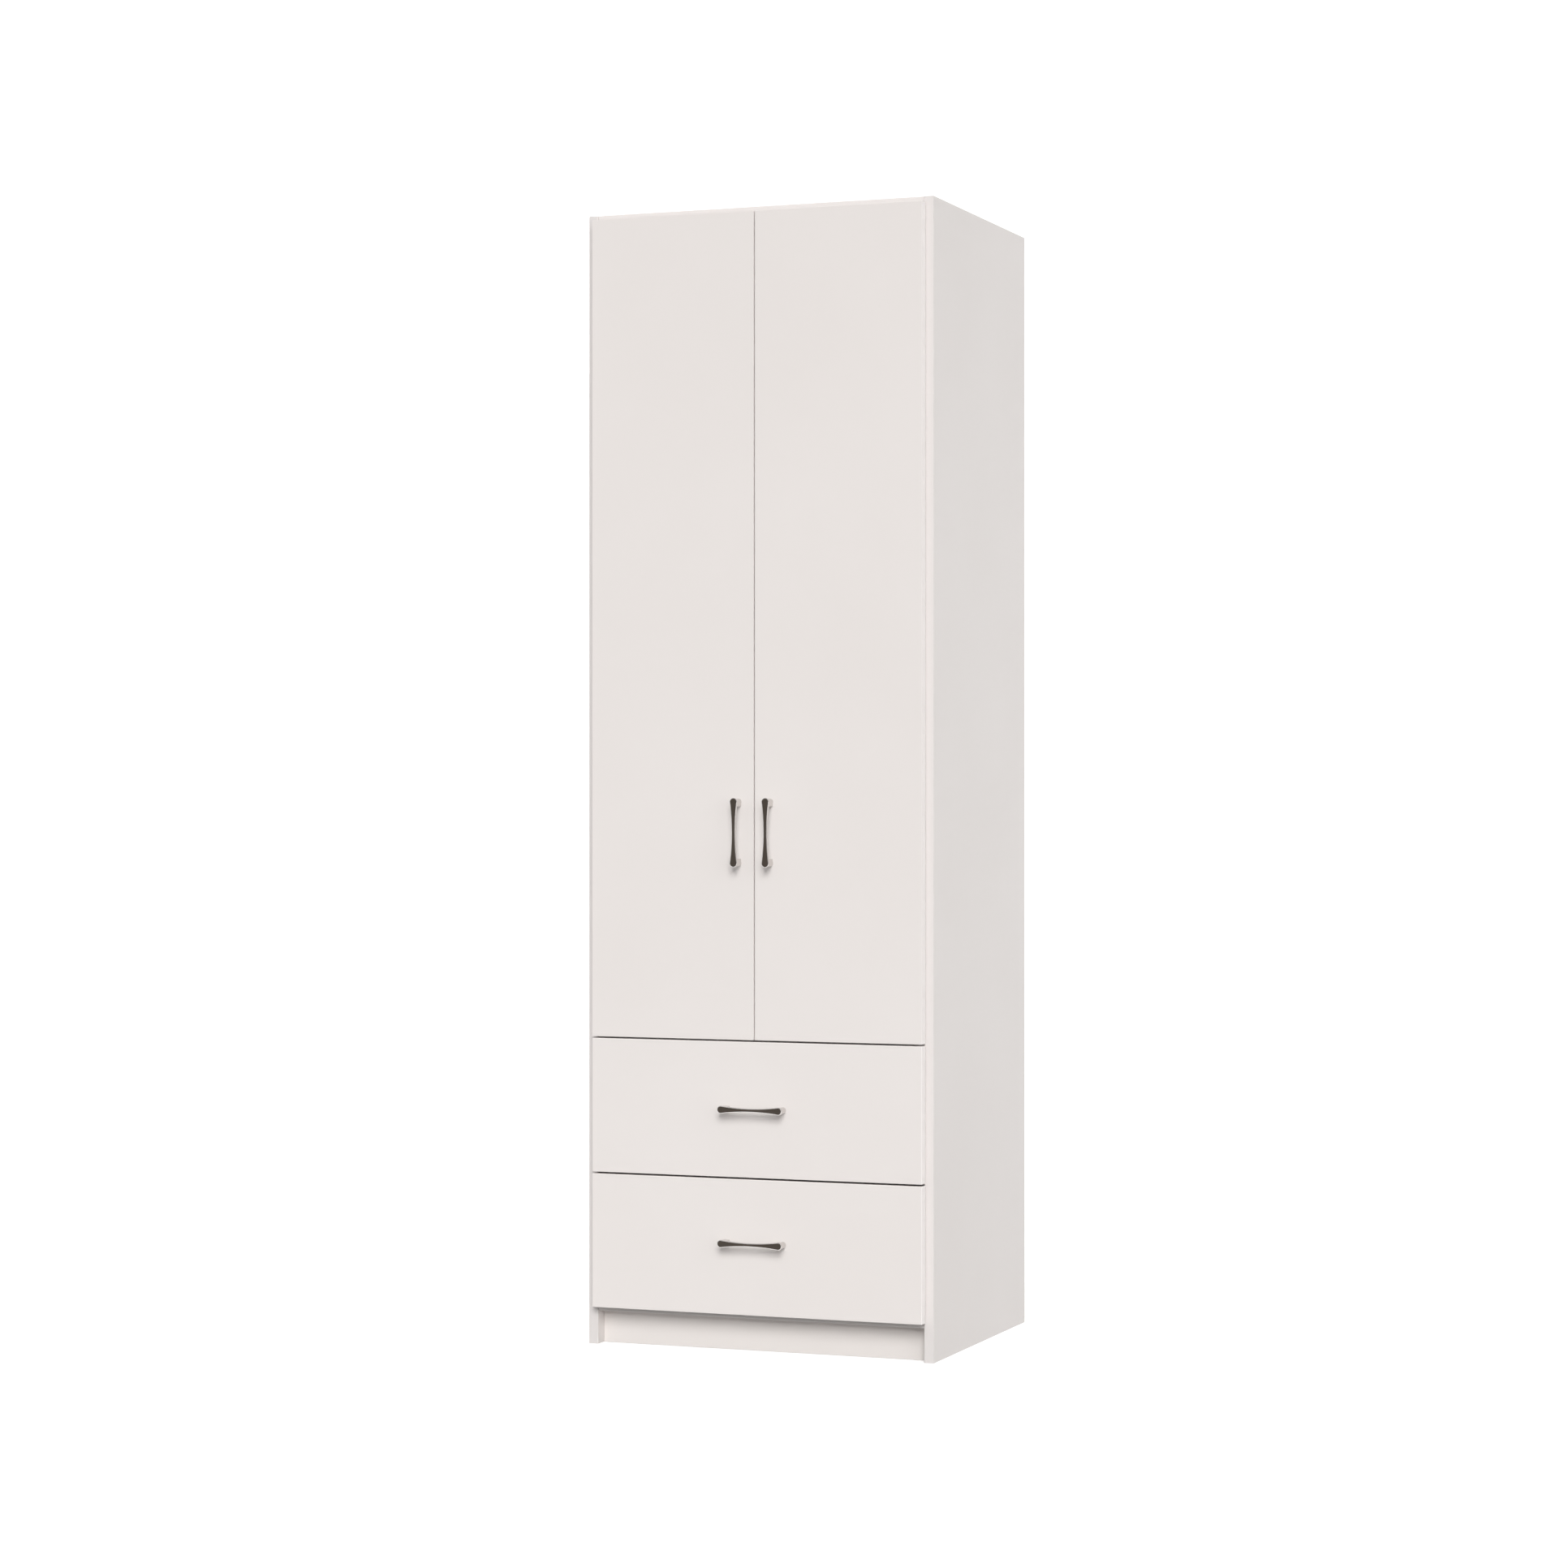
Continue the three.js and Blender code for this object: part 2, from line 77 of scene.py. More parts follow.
FRONT_ARRIS = 0.0010
BOARD_ARRIS = 0.0007
HARDBOARD_ARRIS = 0.0003
SHEET_ARRIS = 0.0003
FITTING_ARRIS = 0.00035
ARRIS_SEGMENTS = 3
SHARP_ANGLE = math.radians(35)
FLAT_ANGLE = math.radians(0.4)                    # faces that turn less than this are one flat face
WELD_DISTANCE = 1e-5

HANDLE_PITCH = 0.096
HANDLE_WAIST = 0.0056
HANDLE_THICK = 0.0048
HANDLE_RIM = 0.0009
HANDLE_POST_ALONG = 0.0142
HANDLE_POST_INSET = 0.0008
HANDLE_POST_LAP = 0.0008                          # posts reach this far into the bar
HANDLE_ARRIS = 0.00072
HANDLE_SEGMENTS = 4
HANDLE_FACE_BACK = 0.00004                        # bar's face lies this far behind the strip's
HANDLE_STEPS = 40                                 # points along each arc of the outline
STRIP_THICK = 0.0006
STRIP_ARRIS = 0.00015
STRIP_SEGMENTS = 2

TO_REAR = (0, 1, 0)

# heads of screws, nails and bumpers, each (radius, height)
CUP_SCREW = (0.0034, 0.0006)
PLATE_SCREW = (0.0036, 0.0012)
ARM_SCREW = (0.0028, 0.0008)
HANDLE_SCREW = (0.0042, 0.0020)
SOCKET_SCREW = (0.0021, 0.0008)
SLIDE_SCREW = (0.0036, 0.0009)
BUMPER = (0.0040, 0.0020)
NAIL_RADIUS = 0.0016
NAIL_HEIGHT = 0.0002
HEAD_SINK = 0.0003                                # heads reach this far into what they sit on
HEAD_WALL = 0.35                                  # top of a head's upright rim over its height
HEAD_SHOULDER = (0.86, 0.8)                       # next ring's radius and height, over the head's own
HEAD_CROWN = 0.5                                  # radius of a plain head's flat top over the head's
CROSS_REACH = 0.62                                # cross slot: arm length over the head's radius
CROSS_WIDTH = 0.26                                # arm half width over arm length
CROSS_TAPER = 0.8                                 # floor of the slot over its mouth
CROSS_FLOOR = 0.25                                # height of the slot's floor over the head's
ANGLE_SLACK = 1e-6

CUP_FROM_FLANGE = 0.017                           # hinge cup's centre from its flange's outer edge
CUP_SCREW_UP = 0.0215
PLATE_THICK = 0.0025
PLATE_SCREW_Y = 0.0509                            # from the front of the hinge arm
PLATE_SCREW_UP = 0.018
ARM_SCREW_Y = (0.036, 0.072)
SOCKET_FLANGE = 0.003
SOCKET_SCREW_UP = 0.0182
SLIDE_SHEET = 0.0012
SLIDE_SCREW_Y = (0.040, 0.210, 0.400)
BUMPER_INSET = 0.016                              # from the door's free edge
BUMPER_EDGE = 0.005                               # from its top and bottom edges
NAIL_INSET = 0.008
NAIL_PITCH = 0.120

# ---- camera and light ----------------------------------------------------------------------------

CAMERA_LENS = 84.76
CAMERA_YAW = math.radians(20.9957)
CAMERA_X = 2.185
CAMERA_BEFORE_FRONT = 5.577                       # camera to the plane of the carcass's front edges
CAMERA_HEIGHT = 0.9206
CAMERA_SHIFT_Y = 0.0012
SENSOR_WIDTH = 36.0                               # millimetres, as the lens is

# each lamp's name, strength, degrees round to the right of straight in front, degrees up, and width
LAMPS = (
    ("key", 0.700, 20, 30, 30),
    ("side_fill", 0.252, 70, 10, 60),
    ("back_fill", 0.52, 225, 8, 70),
)
SKY_BAND = (-0.15, 0.25)                          # sine of the height over which the sky brightens
SKY_STRENGTH = (0.18, 0.56)


def add_camera():
    data = bpy.data.cameras.new("camera")
    data.lens = CAMERA_LENS
    data.sensor_width = SENSOR_WIDTH
    data.shift_y = CAMERA_SHIFT_Y
    camera = bpy.data.objects.new("camera", data)
    camera.location = (CAMERA_X, FRONT_PLANE - CAMERA_BEFORE_FRONT, CAMERA_HEIGHT)
    camera.rotation_euler = (math.radians(90), 0, CAMERA_YAW)
    bpy.context.scene.collection.objects.link(camera)
    bpy.context.scene.camera = camera


def add_lamp(name, strength, around, above, softness):
    """Distant soft light that leaves no reflection of itself."""
    data = bpy.data.lights.new(name, "SUN")
    data.energy = strength * math.pi
    data.angle = math.radians(softness)
    lamp = bpy.data.objects.new(name, data)
    turn = math.radians(around)
    toward = Vector((math.sin(turn), -math.cos(turn), math.tan(math.radians(above))))
    lamp.rotation_euler = toward.to_track_quat("Z", "Y").to_euler()
    lamp.visible_glossy = False
    bpy.context.scene.collection.objects.link(lamp)


def add_light():
    """Sky that is brighter above the horizon, and the lamps."""
    world = bpy.data.worlds.new("studio")
    world.use_nodes = True
    tree = world.node_tree
    place = node(tree, "ShaderNodeTexCoord")
    split = node(tree, "ShaderNodeSeparateXYZ")
    tree.links.new(place.outputs["Generated"], split.inputs[0])
    glow = ramp(tree, split.outputs["Z"], *SKY_BAND, *SKY_STRENGTH)
    tree.links.new(glow, tree.nodes["Background"].inputs["Strength"])
    tree.nodes["Background"].inputs["Color"].default_value = (1, 1, 1, 1)
    bpy.context.scene.world = world
    for lamp in LAMPS:
        add_lamp(*lamp)
    bpy.context.scene.view_settings.view_transform = "Standard"


# ---- node helpers --------------------------------------------------------------------------------

UNIT = (0, 1)
NOISE_NARROW = (0.35, 0.65)                       # band of a noise's values that a mix spreads over
NOISE_WIDE = (0.3, 0.7)                           # the same for a softer mix
FACING_FROM = 0.6                                 # cosine at which a surface begins to face an axis
FACING_TO = 0.95


def new_material(name):
    material = bpy.data.materials.new(name)
    material.use_nodes = True
    tree = material.node_tree
    return material, tree, tree.nodes["Principled BSDF"]


def node(tree, kind, **values):
    made = tree.nodes.new(kind)
    for key, value in values.items():
        setattr(made, key, value)
    return made


def object_coordinates(tree, stretch=(1, 1, 1)):
    """Object coordinates in metres, stretched along the axes."""
    place = node(tree, "ShaderNodeTexCoord")
    mapping = node(tree, "ShaderNodeMapping")
    mapping.inputs["Scale"].default_value = stretch
    tree.links.new(place.outputs["Object"], mapping.inputs["Vector"])
    return mapping.outputs["Vector"]


def noise(tree, vector, scale, detail=2.0, roughness=0.5):
    made = node(tree, "ShaderNodeTexNoise")
    made.inputs["Scale"].default_value = scale
    made.inputs["Detail"].default_value = detail
    made.inputs["Roughness"].default_value = roughness
    tree.links.new(vector, made.inputs["Vector"])
    return made.outputs["Fac"]


def ramp(tree, value, low, high, out_low, out_high):
    """Value mapped from one range to another."""
    made = node(tree, "ShaderNodeMapRange")
    tree.links.new(value, made.inputs["Value"])
    made.inputs["From Min"].default_value = low
    made.inputs["From Max"].default_value = high
    made.inputs["To Min"].default_value = out_low
    made.inputs["To Max"].default_value = out_high
    return made.outputs["Result"]


def blend_colour(tree, factor, first, second):
    """Mix of two colours, each a tuple or a socket."""
    made = node(tree, "ShaderNodeMix", data_type="RGBA")
    tree.links.new(factor, made.inputs["Factor"])
    for socket, colour in ((made.inputs[6], first), (made.inputs[7], second)):
        if isinstance(colour, tuple):
            socket.default_value = (*colour, 1)
        else:
            tree.links.new(colour, socket)
    return made.outputs[2]


def blend_value(tree, factor, first, second):
    """Mix of a socket and a number."""
    made = node(tree, "ShaderNodeMix", data_type="FLOAT")
    tree.links.new(factor, made.inputs["Factor"])
    tree.links.new(first, made.inputs[2])
    made.inputs[3].default_value = second
    return made.outputs[0]


def combine(tree, operation, first, second):
    """Sum or product of two sockets."""
    made = node(tree, "ShaderNodeMath", operation=operation)
    tree.links.new(first, made.inputs[0])
    tree.links.new(second, made.inputs[1])
    return made.outputs[0]


def bump(tree, height, distance, strength, under=None):
    """Normal bent by a height, over another bump if one is given."""
    made = node(tree, "ShaderNodeBump")
    made.inputs["Distance"].default_value = distance
    made.inputs["Strength"].default_value = strength
    tree.links.new(height, made.inputs["Height"])
    if under is not None:
        tree.links.new(under, made.inputs["Normal"])
    return made.outputs["Normal"]


def facing(tree, axis, sign, start=FACING_FROM, full=FACING_TO):
    """1 where the surface faces along an axis in the given sense, 0 elsewhere."""
    place = node(tree, "ShaderNodeTexCoord")
    split = node(tree, "ShaderNodeSeparateXYZ")
    tree.links.new(place.outputs["Normal"], split.inputs[0])
    return ramp(tree, split.outputs[axis], start * sign, full * sign, *UNIT)


# ---- materials -----------------------------------------------------------------------------------

WARM_WHITE = (0.815, 0.770, 0.745)
WARM_WHITE_DEEP = (0.800, 0.754, 0.728)
# painted light: a brighter copy of the warm white for the plinth, lifting it out of the shade under the
# drawer front
PLINTH_LIT_WHITE = (0.832, 0.784, 0.754)
PLINTH_LIT_WHITE_DEEP = (0.817, 0.769, 0.738)
UPWARD_PAINTED_SHADE_WHITE = (0.745, 0.704, 0.678)              # upward faces, painted darker as painted shade to tone down their bright lighting
EDGE_BAND = (0.750, 0.709, 0.692)
# painted highlight: brighter colour for the arrises and upright edges of doors and drawer fronts, where
# they catch the light
EDGE_PAINTED_HIGHLIGHT = (0.93, 0.89, 0.87)
FLAT_FROM = 0.93                                  # cosine from which a face counts as flat
FLAT_TO = 0.99
LACQUER_WHITE = (0.82, 0.79, 0.76)
FIBRE_DARK = (0.20, 0.115, 0.060)
FIBRE_LIGHT = (0.36, 0.23, 0.135)
CHIP_DARK = (0.30, 0.19, 0.105)
CHIP_LIGHT = (0.62, 0.46, 0.30)
CHROME = (0.73, 0.70, 0.68)
# painted reflection: dark colour of the handles' face strip, standing in for the dark surroundings mirrored
# in their chrome
PAINTED_REFLECTION_DARK = (0.040, 0.029, 0.020)
NICKEL = (0.66, 0.64, 0.60)
EPOXY_WHITE = (0.84, 0.84, 0.82)
PLASTIC_WHITE = (0.78, 0.78, 0.76)
FLOOR_GREY = ((0.88, 0.88, 0.88), (0.90, 0.90, 0.90))
WALL_GREY = (0.9, 0.9, 0.9, 1)
GLOW_WHITE = (1, 1, 1, 1)

# scales are in cycles a metre, depths in metres
CLOUD_SCALE = 3.0                                 # broad drift of the melamine's colour
PEARL_SCALE = 900
PEARL_DEPTH = 0.00006
PEARL_STRENGTH = 0.5
MELAMINE_ROUGH = (0.36, 0.46)
WAVE_SCALE = 9
WAVE_DEPTH = 0.0004
WAVE_STRENGTH = 0.35
UPWARD_ROUGH = 0.64
CHIP_SCALE = 320
CHIP_DETAIL = 4
CHIP_RAGGED = 0.7
CHIP_STRETCH = (1, 1, 2.2)
CHIP_ROUGH = 0.9
CHIP_DEPTH = 0.0006
CHIP_STRENGTH = 0.4
FIBRE_SCALE = 420
FIBRE_DETAIL = 5
FIBRE_RAGGED = 0.75
FIBRE_DEPTH = 0.0003
FIBRE_STRENGTH = 0.35
FIBRE_PATCH_SCALE = 7
FIBRE_PATCH = (0, 0.35)                           # share of light fibre in the patches
HARDBOARD_ROUGH = (0.5, 0.85)                     # lacquered side, fibre side
GRAIN_STRENGTH = 0.5
SMUDGE_SCALE = 60
SMUDGE_SHADE = 0.93
PEEL_SHADE = 0.96
POLISH_DEPTH = 0.00002
NICKEL_DEPTH = 0.00003
EPOXY_DEPTH = 0.00006
CHROME_ROUGH = (0.10, 0.16)
RAIL_ROUGH = (0.12, 0.2)
STRIP_ROUGH = (0.40, 0.55)
NICKEL_ROUGH = (0.24, 0.36)
EPOXY_ROUGH = (0.35, 0.5)
PLASTIC_ROUGH = (0.25, 0.35)
CHROME_SCALE = 500
RAIL_SCALE = 900
STRIP_SCALE = 2600
NICKEL_SCALE = 1200
EPOXY_SCALE = 700
PLASTIC_SCALE = 900
EVEN = (1, 1, 1)                                  # grain alike in every direction
RAIL_GRAIN = (0.03, 1, 1)                         # the small number is the way that the grain runs
UPRIGHT_GRAIN = (1, 1, 0.02)
LEVEL_GRAIN = (0.02, 1, 1)
NICKEL_GRAIN = (1, 1, 0.15)
FLOOR_SCALE = 40
FLOOR_SPECULAR = 0.1
FLOOR_GLOW = 0.34
STAGE_ROUGH = 0.9
WALL_SCALE = 0.4
WALL_GLOW = (0.98, 1.02)


def melamine(name, light, deep, carcass=False, painted_edge_light=False):
    """Satin melamine: fine pearl texture and faint waviness.

    A carcass board has a band on its front edge, raw chipboard on its rear edge, and upward faces that are
    rougher and painted darker as painted shade.
    A door or a drawer front has a painted highlight: its arrises and upright edges are painted brighter, as
    if catching the light.
    """
    material, tree, shader = new_material(name)
    place = object_coordinates(tree)
    cloud = ramp(tree, noise(tree, place, CLOUD_SCALE, detail=3), *NOISE_NARROW, *UNIT)
    colour = blend_colour(tree, cloud, light, deep)
    pearl = noise(tree, place, PEARL_SCALE, detail=2)
    rough = ramp(tree, pearl, *NOISE_WIDE, *MELAMINE_ROUGH)
    wave = bump(tree, noise(tree, place, WAVE_SCALE, detail=1), WAVE_DEPTH, WAVE_STRENGTH)
    normal = bump(tree, pearl, PEARL_DEPTH, PEARL_STRENGTH, wave)
    # painted highlight: faces that turn from the front, back, top and bottom, which are the rounded arrises
    # and upright edges, are painted brighter
    if painted_edge_light:
        flats = [facing(tree, axis, sign, FLAT_FROM, FLAT_TO) for axis in "YZ" for sign in (-1, 1)]
        flat = flats[0]
        for other in flats[1:]:
            flat = combine(tree, "ADD", flat, other)
        colour = blend_colour(tree, flat, EDGE_PAINTED_HIGHLIGHT, colour)
    if carcass:
        colour = blend_colour(tree, facing(tree, "Y", -1), colour, EDGE_BAND)
        # painted shade: upward faces are painted darker so that the brightly lit tops come out less bright;
        # they are also made rougher
        upward = facing(tree, "Z", 1)
        colour = blend_colour(tree, upward, colour, UPWARD_PAINTED_SHADE_WHITE)
        rough = blend_value(tree, upward, rough, UPWARD_ROUGH)
        chips = noise(tree, object_coordinates(tree, CHIP_STRETCH), CHIP_SCALE, CHIP_DETAIL, CHIP_RAGGED)
        chip_mix = ramp(tree, chips, *NOISE_NARROW, *UNIT)
        chip_colour = blend_colour(tree, chip_mix, CHIP_DARK, CHIP_LIGHT)
        rear = facing(tree, "Y", 1)
        colour = blend_colour(tree, rear, colour, chip_colour)
        rough = blend_value(tree, rear, rough, CHIP_ROUGH)
        normal = bump(tree, combine(tree, "MULTIPLY", chips, rear), CHIP_DEPTH, CHIP_STRENGTH, normal)
    tree.links.new(colour, shader.inputs["Base Color"])
    tree.links.new(rough, shader.inputs["Roughness"])
    tree.links.new(normal, shader.inputs["Normal"])
    return material


def hardboard(name, axis, sign):
    """Hardboard: white lacquer on the seen side, brown screened fibre on the side that faces away."""
    material, tree, shader = new_material(name)
    place = object_coordinates(tree)
    fibre = noise(tree, place, FIBRE_SCALE, FIBRE_DETAIL, FIBRE_RAGGED)
    patch = noise(tree, place, FIBRE_PATCH_SCALE, detail=3)
    brown = blend_colour(tree, ramp(tree, fibre, *NOISE_NARROW, *UNIT), FIBRE_DARK, FIBRE_LIGHT)
    brown = blend_colour(tree, ramp(tree, patch, *NOISE_WIDE, *FIBRE_PATCH), brown, FIBRE_LIGHT)
    away = facing(tree, axis, sign)
    colour = blend_colour(tree, away, LACQUER_WHITE, brown)
    tree.links.new(colour, shader.inputs["Base Color"])
    tree.links.new(ramp(tree, away, *UNIT, *HARDBOARD_ROUGH), shader.inputs["Roughness"])
    tree.links.new(bump(tree, fibre, FIBRE_DEPTH, FIBRE_STRENGTH), shader.inputs["Normal"])
    return material


def metal(name, colour, rough, scale, depth, stretch=EVEN):
    """Polished or brushed metal: its grain sets the roughness and a very fine bump."""
    material, tree, shader = new_material(name)
    shader.inputs["Metallic"].default_value = 1.0
    grain = noise(tree, object_coordinates(tree, stretch), scale, detail=3)
    smudge = noise(tree, object_coordinates(tree), SMUDGE_SCALE, detail=2)
    darker = tuple(c * SMUDGE_SHADE for c in colour)
    tint = blend_colour(tree, ramp(tree, smudge, *NOISE_NARROW, *UNIT), colour, darker)
    tree.links.new(tint, shader.inputs["Base Color"])
    tree.links.new(ramp(tree, grain, *NOISE_WIDE, *rough), shader.inputs["Roughness"])
    tree.links.new(bump(tree, grain, depth, GRAIN_STRENGTH), shader.inputs["Normal"])
    return material


def coated(name, colour, rough, scale, depth, stretch=EVEN):
    """Coated metal or moulded plastic: orange peel, or a brushed grain if it is stretched."""
    material, tree, shader = new_material(name)
    peel = noise(tree, object_coordinates(tree, stretch), scale, detail=2)
    darker = tuple(c * PEEL_SHADE for c in colour)
    tint = blend_colour(tree, ramp(tree, peel, *NOISE_WIDE, *UNIT), colour, darker)
    tree.links.new(tint, shader.inputs["Base Color"])
    tree.links.new(ramp(tree, peel, *NOISE_WIDE, *rough), shader.inputs["Roughness"])
    tree.links.new(bump(tree, peel, depth, GRAIN_STRENGTH), shader.inputs["Normal"])
    return material


def pale_floor():
    """Matt pale floor, lifted a little by a glow of its own."""
    material, tree, shader = new_material("pale_floor")
    speck = noise(tree, object_coordinates(tree), FLOOR_SCALE, detail=2)
    tint = blend_colour(tree, speck, *FLOOR_GREY)
    tree.links.new(tint, shader.inputs["Base Color"])
    shader.inputs["Roughness"].default_value = STAGE_ROUGH
    shader.inputs["Specular IOR Level"].default_value = FLOOR_SPECULAR
    shader.inputs["Emission Color"].default_value = GLOW_WHITE
    shader.inputs["Emission Strength"].default_value = FLOOR_GLOW
    return material


def pale_wall():
    """Evenly glowing pale surround."""
    material, tree, shader = new_material("pale_wall")
    shader.inputs["Base Color"].default_value = WALL_GREY
    shader.inputs["Roughness"].default_value = STAGE_ROUGH
    shader.inputs["Emission Color"].default_value = GLOW_WHITE
    glow = ramp(tree, noise(tree, object_coordinates(tree), WALL_SCALE, detail=1), *UNIT, *WALL_GLOW)
    tree.links.new(glow, shader.inputs["Emission Strength"])
    return material


LOOK = {
    "front": melamine("melamine_front", WARM_WHITE, WARM_WHITE_DEEP, painted_edge_light=True),
    "box": melamine("melamine_box", WARM_WHITE, WARM_WHITE_DEEP),
    "board": melamine("melamine_board", WARM_WHITE, WARM_WHITE_DEEP, carcass=True),
    # painted light: the plinth's melamine is a brighter copy of the boards' white
    "plinth": melamine("melamine_plinth_painted_light", PLINTH_LIT_WHITE, PLINTH_LIT_WHITE_DEEP),
    "back": hardboard("hardboard_back", "Y", 1),
    "base": hardboard("hardboard_base", "Z", -1),
    "chrome": metal("chrome_polished", CHROME, CHROME_ROUGH, CHROME_SCALE, POLISH_DEPTH),
    "rail": metal("chrome_rail", CHROME, RAIL_ROUGH, RAIL_SCALE, POLISH_DEPTH, RAIL_GRAIN),
    # painted reflection: the handles' face strips are painted dark in place of the chrome's dark mirror
    # image
    "reflection_strip_door": coated("painted_reflection_upright", PAINTED_REFLECTION_DARK, STRIP_ROUGH, STRIP_SCALE, POLISH_DEPTH, UPRIGHT_GRAIN),
    "reflection_strip_drawer": coated("painted_reflection_level", PAINTED_REFLECTION_DARK, STRIP_ROUGH, STRIP_SCALE, POLISH_DEPTH, LEVEL_GRAIN),
    "nickel": metal("nickel_plated", NICKEL, NICKEL_ROUGH, NICKEL_SCALE, NICKEL_DEPTH, NICKEL_GRAIN),
    "slide": coated("epoxy_white", EPOXY_WHITE, EPOXY_ROUGH, EPOXY_SCALE, EPOXY_DEPTH),
    "plastic": coated("bumper_plastic", PLASTIC_WHITE, PLASTIC_ROUGH, PLASTIC_SCALE, POLISH_DEPTH),
}

# ---- mesh helpers --------------------------------------------------------------------------------


def make_object(name, shape, look, arris=0.0, segments=ARRIS_SEGMENTS):
    """Object from a bmesh, with its arrises rounded by a bevel, or left sharp where that is 0."""
    mesh = bpy.data.meshes.new(name)
    bmesh.ops.recalc_face_normals(shape, faces=shape.faces)
    shape.to_mesh(mesh)
    shape.free()
    mesh.materials.append(look)
    mesh.shade_smooth()
    if arris == 0:
        mesh.set_sharp_from_angle(angle=SHARP_ANGLE)
    made = bpy.data.objects.new(name, mesh)
    bpy.context.scene.collection.objects.link(made)
    if arris > 0:
        round_off = made.modifiers.new("arris", "BEVEL")
        round_off.width = arris
        round_off.segments = segments
        round_off.limit_method = "ANGLE"
        round_off.angle_limit = SHARP_ANGLE
        round_off.use_clamp_overlap = True
        round_off.miter_outer = "MITER_ARC"
    weigh = made.modifiers.new("flats", "WEIGHTED_NORMAL")
    weigh.keep_sharp = True
    return made


def refine(name, look, arris):
    """The CAD node's own shape with clean faces and rounded arrises, standing for the node."""
    source = frame["nodes"][name]
    shape = bmesh.new()
    shape.from_mesh(source.data)
    bmesh.ops.remove_doubles(shape, verts=shape.verts, dist=WELD_DISTANCE)
    bmesh.ops.dissolve_limit(
        shape, angle_limit=FLAT_ANGLE, verts=shape.verts, edges=shape.edges, use_dissolve_boundaries=False)
    made = make_object(f"{name}.fine", shape, look, arris)
    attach(made, source["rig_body"])
    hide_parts(name)
    return made


# ---- boards --------------------------------------------------------------------------------------

BOARDS = ("side_panel_left", "side_panel_right", "top_panel", "bottom_panel", "middle_shelf", "hat_shelf")
BACK_PANELS = ("back_panel_upper", "back_panel_lower")

for board in BOARDS:
    refine(board, LOOK["board"], BOARD_ARRIS)
for board in ("plinth_front", "plinth_rear"):
    refine(board, LOOK["plinth"], BOARD_ARRIS)
for panel in BACK_PANELS:
    sheet = refine(panel, LOOK["back"], HARDBOARD_ARRIS)
    for vertex in sheet.data.vertices:                # room for the nail heads inside the whole depth
        if vertex.co.y > BACK_FACE - NAIL_HEIGHT:
            vertex.co.y = BACK_FACE - NAIL_HEIGHT
for side, _ in SIDES:
    refine(f"door_{side}", LOOK["front"], FRONT_ARRIS)
for drawer in DRAWERS:
    refine(f"drawer_front_{drawer}", LOOK["front"], FRONT_ARRIS)
    refine(f"drawer_back_{drawer}", LOOK["box"], BOARD_ARRIS)
    refine(f"drawer_base_{drawer}", LOOK["base"], HARDBOARD_ARRIS)
    for side, _ in SIDES:
        refine(f"drawer_side_{drawer}_{side}", LOOK["box"], BOARD_ARRIS)

# ---- fittings ------------------------------------------------------------------------------------

refine("hanging_rail", LOOK["rail"], SHEET_ARRIS)
for side, _ in SIDES:
    refine(f"rail_socket_{side}", LOOK["chrome"], FITTING_ARRIS)
    for place in ("front", "rear"):
        refine(f"shelf_pin_{place}_{side}", LOOK["nickel"], FITTING_ARRIS)
    for place in HINGE_PLACES:
        refine(f"hinge_cup_{place}_{side}", LOOK["nickel"], 0)
        refine(f"hinge_arm_{place}_{side}", LOOK["nickel"], FITTING_ARRIS)
    for drawer in DRAWERS:
        refine(f"slide_cabinet_{drawer}_{side}", LOOK["slide"], SHEET_ARRIS)
        refine(f"slide_drawer_{drawer}_{side}", LOOK["slide"], SHEET_ARRIS)

# ---- handles -------------------------------------------------------------------------------------


def bow_outline(length, end_width, inset):
    """Points round the bow: round ends, and long arcs drawn in to the waist."""
    steps = HANDLE_STEPS
    end = end_width / 2 - inset
    waist = HANDLE_WAIST / 2 - inset
    centre = length / 2 - inset - end
    sag = end - waist
    radius = (centre ** 2 + sag ** 2) / (2 * sag)
    sweep = math.asin(centre / radius)
    points = []
    for sign in (1, -1):
        for i in range(steps + 1):
            a = math.pi * (i / steps - 0.5)
            points.append((sign * (centre + end * math.cos(a)), sign * end * math.sin(a)))
        for i in range(1, steps):
            a = sweep * (1 - 2 * i / steps)
            points.append((sign * radius * math.sin(a), sign * (waist + radius * (1 - math.cos(a)))))
    return points


def slab(shape, points, low, high):
    """Closed prism of an outline between two distances off the front."""
    rings = [[shape.verts.new((u, w, n)) for u, w in points] for n in (low, high)]
    shape.faces.new(rings[0][::-1])
    shape.faces.new(rings[1])
    for i in range(len(points)):
        j = (i + 1) % len(points)
        shape.faces.new((rings[0][i], rings[0][j], rings[1][j], rings[1][i]))


